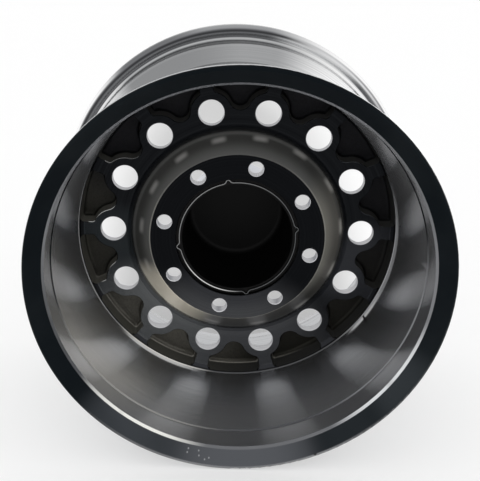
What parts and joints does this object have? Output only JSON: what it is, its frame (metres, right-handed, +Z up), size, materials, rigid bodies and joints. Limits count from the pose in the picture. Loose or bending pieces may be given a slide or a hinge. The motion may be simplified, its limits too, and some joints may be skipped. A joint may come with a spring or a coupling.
{
  "type": "car wheel",
  "caption": "Wide one-piece alloy car wheel without a tyre: deep barrel, disc with round holes and cast back pockets, stud circle, and a deep push-through centre cap held by a spring wire ring.",
  "frame": {"origin": "middle of the wheel: on the spin axis, halfway between the outer faces of the two flanges", "axes": "+Y along the spin axis from the inboard (vehicle) side to the outboard (street) side, +Z up, +X to the right as seen from the inboard side"},
  "size_m": [0.4402, 0.288, 0.4401],
  "materials": {
    "aluminium": "turned and polished cast aluminium, darker in the cast pockets",
    "black_plastic": "moulded satin",
    "spring_steel": "bright drawn wire"
  },
  "bodies": {
    "root": {"wheel": "aluminium", "centre_cap": "black_plastic", "cap_spring_ring": "spring_steel"}
  },
  "joints": []
}
